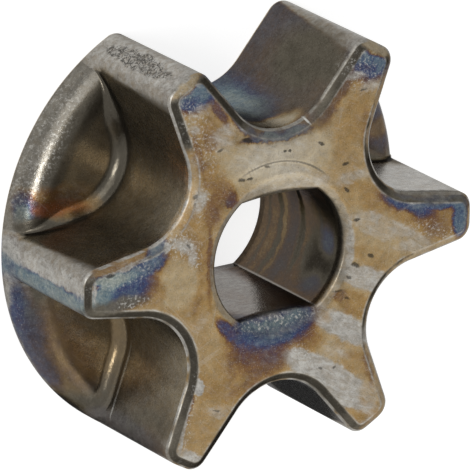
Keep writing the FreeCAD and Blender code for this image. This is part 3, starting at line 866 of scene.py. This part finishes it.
def steel_material(finish):
    """Satin steel with temper colours, bare places, dark oxide and pits, with painted light and shade among
    them, from the piece's own values.
    """
    material = bpy.data.materials.new(SLOT)
    material.use_nodes = True
    tree = material.node_tree
    tree.nodes.clear()
    local = add_node(tree, "ShaderNodeTexCoord").outputs["Object"]
    place = add_node(tree, "ShaderNodeMapping", {"Vector": local, "Scale": (1 / MM,) * 3}).outputs[0]
    broad = grain(tree, place, 0.45, 6.0, 0.6, 0.6)
    fine = grain(tree, place, 4.0, 5.0, 0.65)
    grit = grain(tree, place, 11.0, 2.0, 0.5)
    cloud = {"Vector": place, "Scale": 0.8, "Detail": 7.0, "Roughness": 0.68}
    wander = add_node(tree, "ShaderNodeTexNoise", cloud).outputs["Color"]
    offset = add_node(
        tree, "ShaderNodeVectorMath", {0: wander, 1: (0.5, 0.5, 0.5)}, operation="SUBTRACT"
    ).outputs[0]
    ragged = shifted(tree, place, offset, 1.1)

    # Temper colours, one of them a painted highlight on the wall of the gap at 90 degrees.
    temper = lay_marks(tree, ragged, vertex_value(tree, "temper"), HEAT_AND_PAINTED_LIGHT_MARKS)
    temper = joined(tree, temper, swing(tree, broad, 0.28))
    temper = joined(tree, temper, swing(tree, fine, 0.24))
    ramp = add_node(tree, "ShaderNodeValToRGB", {"Fac": temper})
    stops = (
        (0.05, finish.pale_straw), (0.2, finish.straw), (0.35, finish.gold), (0.46, finish.brown),
        (0.56, finish.purple), (0.68, finish.deep_blue), (0.82, finish.steel_blue), (0.95, finish.teal_grey),
    )
    elements = ramp.color_ramp.elements
    while len(elements) < len(stops):
        elements.new(0.5)
    for element, (position, shade) in zip(elements, stops):
        element.position = position
        element.color = opaque(shade)

    # Bare metal over them, then dark oxide, and orange and bright places. Bare and soot also carry painted
    # light and shade where their lists say so.
    bare = lay_marks(tree, ragged, vertex_value(tree, "bare"), BARE_AND_PAINTED_LIGHT_MARKS)
    pattern = spread(tree, vertex_value(tree, "satin"), 0.17, 0.24, 0.08, 1.0)
    strokes = grain(tree, streaked(tree, place, -28, 1.3, 0.5), 1.4, 6.0, 0.68, 0.6)
    bare = joined(tree, bare, swing(tree, broad, 0.5))
    bare = joined(tree, bare, joined(tree, swing(tree, strokes, 0.9), pattern, "MULTIPLY"))
    light = spread(tree, strokes, 0.25, 0.75)
    metal = mixed(tree, light, opaque(finish.bare_dark), opaque(finish.bare_light))
    skin = mixed(tree, spread(tree, bare, 0.1, 1.1), ramp.outputs["Color"], metal)
    soot_and_shade = lay_marks(tree, ragged, vertex_value(tree, "soot_and_shade"), SOOT_AND_PAINTED_LIGHT_MARKS)
    soot_and_shade = joined(tree, soot_and_shade, swing(tree, fine, 0.25))
    soot_and_shade = joined(tree, soot_and_shade, swing(tree, broad, 0.3))
    skin = mixed(tree, soot_and_shade, skin, opaque(finish.soot_and_shade))
    # Heavy soot turns towards the pit colour; on the walls of the gap at 270 degrees and in the hollows it is
    # painted shade.
    skin = mixed(tree, spread(tree, soot_and_shade, 0.9, 2.0), skin, opaque(finish.pit))
    for marks, shade in ((EMBER_MARKS, finish.ember), (LINES, finish.bare_light)):
        for centre, half_sizes, turn, strength, soft in marks:
            share = joined(tree, patch(tree, place, centre, half_sizes, turn, soft), strength, "MULTIPLY")
            skin = mixed(tree, share, skin, opaque(shade))

    # Wear: mottling, scratches, white flecks, the crescent's border, pits and specks.
    clean = spread(tree, soot_and_shade, 0.7, 0.1, 0.3, 1.0)
    above_hole = patch(tree, place, (0.6, 6.0, FRONT), (3.4, 1.6, 0.6), 0, 0.6)
    mottle = joined(tree, swing(tree, fine, 0.75), swing(tree, grain(tree, place, 1.3, 5.0, 0.7), 1.0))
    mottle = joined(tree, mottle, pattern, "MULTIPLY")
    skin = mixed(tree, 1.0, skin, joined(tree, mottle, 0.97), "MULTIPLY")
    for turn in (24, -48, 78):
        stretched = streaked(tree, place, turn, 3.0, 0.22)
        scratch = spread(tree, grain(tree, stretched, 1.0, 2.0, 0.5, 0.4), 0.66, 0.76, 0.0, 0.14)
        scratch = joined(tree, scratch, clean, "MULTIPLY")
        skin = mixed(tree, scratch, skin, opaque(finish.bare_light))
    salt = spread(tree, grain(tree, place, 5.0, 4.0, 0.7), 0.51, 0.64, 0.0, 0.9)
    salt = joined(tree, salt, lay_marks(tree, ragged, 0.0, FLECKED_MARKS), "MULTIPLY")
    skin = mixed(tree, salt, skin, opaque(finish.bare_light))
    ends = {0: place, 1: (CRESCENT_X, CRESCENT_Y, FRONT)}
    from_middle = add_node(tree, "ShaderNodeVectorMath", ends, operation="DISTANCE").outputs["Value"]
    off_border = joined(tree, joined(tree, from_middle, CRESCENT_RADIUS, "SUBTRACT"), 0.0, "ABSOLUTE")
    border = joined(tree, spread(tree, off_border, 0.11, 0.02, 0.0, 0.8), above_hole, "MULTIPLY")
    skin = mixed(tree, border, skin, opaque(finish.soot_and_shade))
    worms = joined(tree, swing(tree, grain(tree, place, 2.2, 3.0, 0.6, 1.4), 2.0), 0.0, "ABSOLUTE")
    cluster = lay_marks(tree, ragged, vertex_value(tree, "pitting"), PITTED_MARKS)
    cluster = joined(tree, cluster, swing(tree, grain(tree, place, 0.9, 2.0), 1.2))
    pits = joined(tree, spread(tree, worms, 0.16, 0.05), spread(tree, cluster, 0.6, 0.9), "MULTIPLY")
    nudged = shifted(tree, place, offset, 0.7)
    for pit in PITS:
        centre, half_sizes, turn, depth, soft = front(*pit, 0.7)
        hollow = joined(tree, patch(tree, nudged, centre, half_sizes, turn, soft), depth, "MULTIPLY")
        pits = joined(tree, pits, hollow, "MAXIMUM")
    skin = mixed(tree, joined(tree, pits, 0.8, "MULTIPLY"), skin, opaque(finish.pit))
    specks = joined(tree, spread(tree, grit, 0.58, 0.76, 0.0, 0.4), clean, "MULTIPLY")
    skin = mixed(tree, specks, skin, opaque(finish.bare_light))
    skin = mixed(tree, spread(tree, grit, 0.44, 0.24, 0.0, 0.45), skin, opaque(finish.pit))

    # Gloss and fine relief.
    satin = joined(tree, vertex_value(tree, "satin"), swing(tree, fine, 0.15), clamp=True)
    height = joined(tree, joined(tree, fine, 0.4, "MULTIPLY"), joined(tree, grit, 0.2, "MULTIPLY"))
    height = joined(tree, height, joined(tree, worms, 0.3, "MINIMUM"))
    bump = {"Height": height, "Strength": 0.16, "Distance": 0.05 * MM}
    relief = add_node(tree, "ShaderNodeBump", bump).outputs[0]
    sheen = spread(tree, soot_and_shade, 0.1, 1.2, 0.7, 0.02)
    shader = add_node(
        tree, "ShaderNodeBsdfPrincipled",
        {
            "Base Color": skin, "Metallic": 0.85, "Roughness": satin, "Normal": relief,
            "Specular Tint": sheen, "Specular IOR Level": joined(tree, sheen, 0.5, "MULTIPLY"),
        },
    )
    add_node(tree, "ShaderNodeOutputMaterial", {"Surface": shader.outputs[0]})
    return material


def make_mesh(name, points, faces, values):
    """Smooth mesh of a grid, with a value of each kind at every vertex."""
    mesh = bpy.data.meshes.new(name)
    mesh.from_pydata(points.reshape(-1, 3).tolist(), [], faces.tolist())
    for label, value in values.items():
        attribute = mesh.attributes.new(label, "FLOAT", "POINT")
        attribute.data.foreach_set("value", np.ascontiguousarray(value, dtype=np.float32).ravel())
    mesh.polygons.foreach_set("use_smooth", np.ones(len(faces), dtype=bool))
    mesh.update()
    return mesh


class SPROCKET_OT_star(bpy.types.Operator):
    """Build the star with its flange and shaft hole in heat-tinted steel"""

    bl_idname = "sprocket.star"
    bl_label = "Star"

    def execute(self, context):
        sizes = context.scene.sprocket_sizes
        points, band, run, is_open = star_surface(sizes)
        faces = ring_faces(*points.shape[:2])
        mesh = make_mesh("sprocket_star", points, faces, steel_values(sizes, points, band, run, is_open))
        mesh.materials.append(steel_material(context.scene.steel_finish))
        star = bpy.data.objects.new("sprocket_star", mesh)
        context.scene.collection.objects.link(star)
        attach(star, BODY)
        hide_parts(NODE)
        return {"FINISHED"}


def add_lamp(name, direction, distance, size, watts):
    """Square lamp at a distance from the part, facing it."""
    data = bpy.data.lights.new(name, "AREA")
    data.shape = "SQUARE"
    data.size = size
    data.energy = watts
    lamp = bpy.data.objects.new(name, data)
    towards = Vector(direction).normalized()
    facing = towards.to_track_quat("Z", "Y").to_matrix().to_4x4()
    lamp.matrix_world = Matrix.Translation(towards * distance) @ facing
    bpy.context.scene.collection.objects.link(lamp)


def add_camera(stage):
    """Camera on a ray from the target, turned about that ray."""
    level = math.cos(stage.elevation)
    back = Vector(
        (math.sin(stage.azimuth) * level, -math.cos(stage.azimuth) * level, math.sin(stage.elevation))
    )
    data = bpy.data.cameras.new("camera")
    data.lens = stage.lens
    data.sensor_width = SENSOR_WIDTH
    camera = bpy.data.objects.new("camera", data)
    upright = (-back).to_track_quat("-Z", "Y").to_matrix()
    turned = upright @ Matrix.Rotation(stage.roll, 3, "Z")
    camera.matrix_world = Matrix.Translation(Vector(stage.target) + back * stage.distance) @ turned.to_4x4()
    bpy.context.scene.collection.objects.link(camera)
    bpy.context.scene.camera = camera


def seen_directly(tree):
    """One for rays from the camera, mirrors and glass, and nought for the rest."""
    path = add_node(tree, "ShaderNodeLightPath").outputs
    shiny = joined(tree, path["Is Glossy Ray"], path["Is Transmission Ray"], "MAXIMUM")
    return joined(tree, path["Is Camera Ray"], shiny, "MAXIMUM")


def floor_material():
    """White floor that keeps a light shadow: part lit, part its own white for rays that see it directly.

    From below it is clear, so that the back of the part can be looked at.
    """
    material = bpy.data.materials.new("white_floor")
    material.use_nodes = True
    tree = material.node_tree
    tree.nodes.clear()
    lit = add_node(tree, "ShaderNodeBsdfDiffuse", {"Color": opaque((FLOOR_GREY,) * 3)})
    glow = add_node(
        tree, "ShaderNodeEmission",
        {"Color": (1, 1, 1, 1), "Strength": joined(tree, seen_directly(tree), FLOOR_GLOW, "MULTIPLY")},
    )
    both = add_node(tree, "ShaderNodeAddShader", {0: lit.outputs[0], 1: glow.outputs[0]})
    below = add_node(tree, "ShaderNodeNewGeometry").outputs["Backfacing"]
    clear = add_node(tree, "ShaderNodeBsdfTransparent")
    seen = add_node(tree, "ShaderNodeMixShader", {0: below, 1: both.outputs[0], 2: clear.outputs[0]})
    add_node(tree, "ShaderNodeOutputMaterial", {"Surface": seen.outputs[0]})
    return material


class SPROCKET_OT_studio(bpy.types.Operator):
    """Build the floor, the soft lamps and the camera"""

    bl_idname = "sprocket.studio"
    bl_label = "Studio"

    def execute(self, context):
        stage = context.scene.studio_stage
        half = stage.floor_size / 2
        mesh = bpy.data.meshes.new("floor")
        low = -stage.floor_gap
        corners = [(-half, -half, low), (half, -half, low), (half, half, low), (-half, half, low)]
        mesh.from_pydata(corners, [], [(0, 1, 2, 3)])
        mesh.materials.append(floor_material())
        floor = bpy.data.objects.new("floor", mesh)
        context.scene.collection.objects.link(floor)

        world = bpy.data.worlds.new("studio")
        world.use_nodes = True
        tree = world.node_tree
        tree.nodes.clear()
        strength = spread(tree, seen_directly(tree), 0, 1, SKY_LIGHT, SKY_SEEN)
        sky = add_node(tree, "ShaderNodeBackground", {"Color": (1, 1, 1, 1), "Strength": strength})
        add_node(tree, "ShaderNodeOutputWorld", {"Surface": sky.outputs[0]})
        context.scene.world = world

        add_lamp("key", (-0.45, 0.55, 0.75), 0.35, 0.22, 0.2)
        add_lamp("fill", (0.4, -0.8, 0.6), 0.4, 0.3, 0.3)
        add_lamp("front", (-0.56, 0.12, 0.82), 0.3, 0.08, 0.2)
        add_camera(stage)
        context.scene.view_settings.view_transform = "Standard"
        return {"FINISHED"}


class SPROCKET_PT_panel(bpy.types.Panel):
    """Sizes, finish and steps of the sprocket"""

    bl_idname = "SPROCKET_PT_panel"
    bl_label = "Sprocket"
    bl_space_type = "VIEW_3D"
    bl_region_type = "UI"
    bl_category = "Sprocket"

    def draw(self, context):
        for operator in (SPROCKET_OT_star, SPROCKET_OT_studio):
            self.layout.operator(operator.bl_idname)
        for group in (context.scene.sprocket_sizes, context.scene.steel_finish, context.scene.studio_stage):
            column = self.layout.column()
            for name in group.__annotations__:
                column.prop(group, name)


CLASSES = (
    SprocketSizes, SteelFinish, StudioStage, SPROCKET_OT_star, SPROCKET_OT_studio, SPROCKET_PT_panel,
)


def register():
    """Add the classes and their values on the scene."""
    for item in CLASSES:
        bpy.utils.register_class(item)
    bpy.types.Scene.sprocket_sizes = PointerProperty(type=SprocketSizes)
    bpy.types.Scene.steel_finish = PointerProperty(type=SteelFinish)
    bpy.types.Scene.studio_stage = PointerProperty(type=StudioStage)


def unregister():
    """Take the values and the classes away again."""
    del bpy.types.Scene.studio_stage
    del bpy.types.Scene.steel_finish
    del bpy.types.Scene.sprocket_sizes
    for item in reversed(CLASSES):
        bpy.utils.unregister_class(item)


def main():
    """Build the part and the studio."""
    register()
    bpy.ops.sprocket.star()
    bpy.ops.sprocket.studio()


if __name__ == "__main__":
    main()
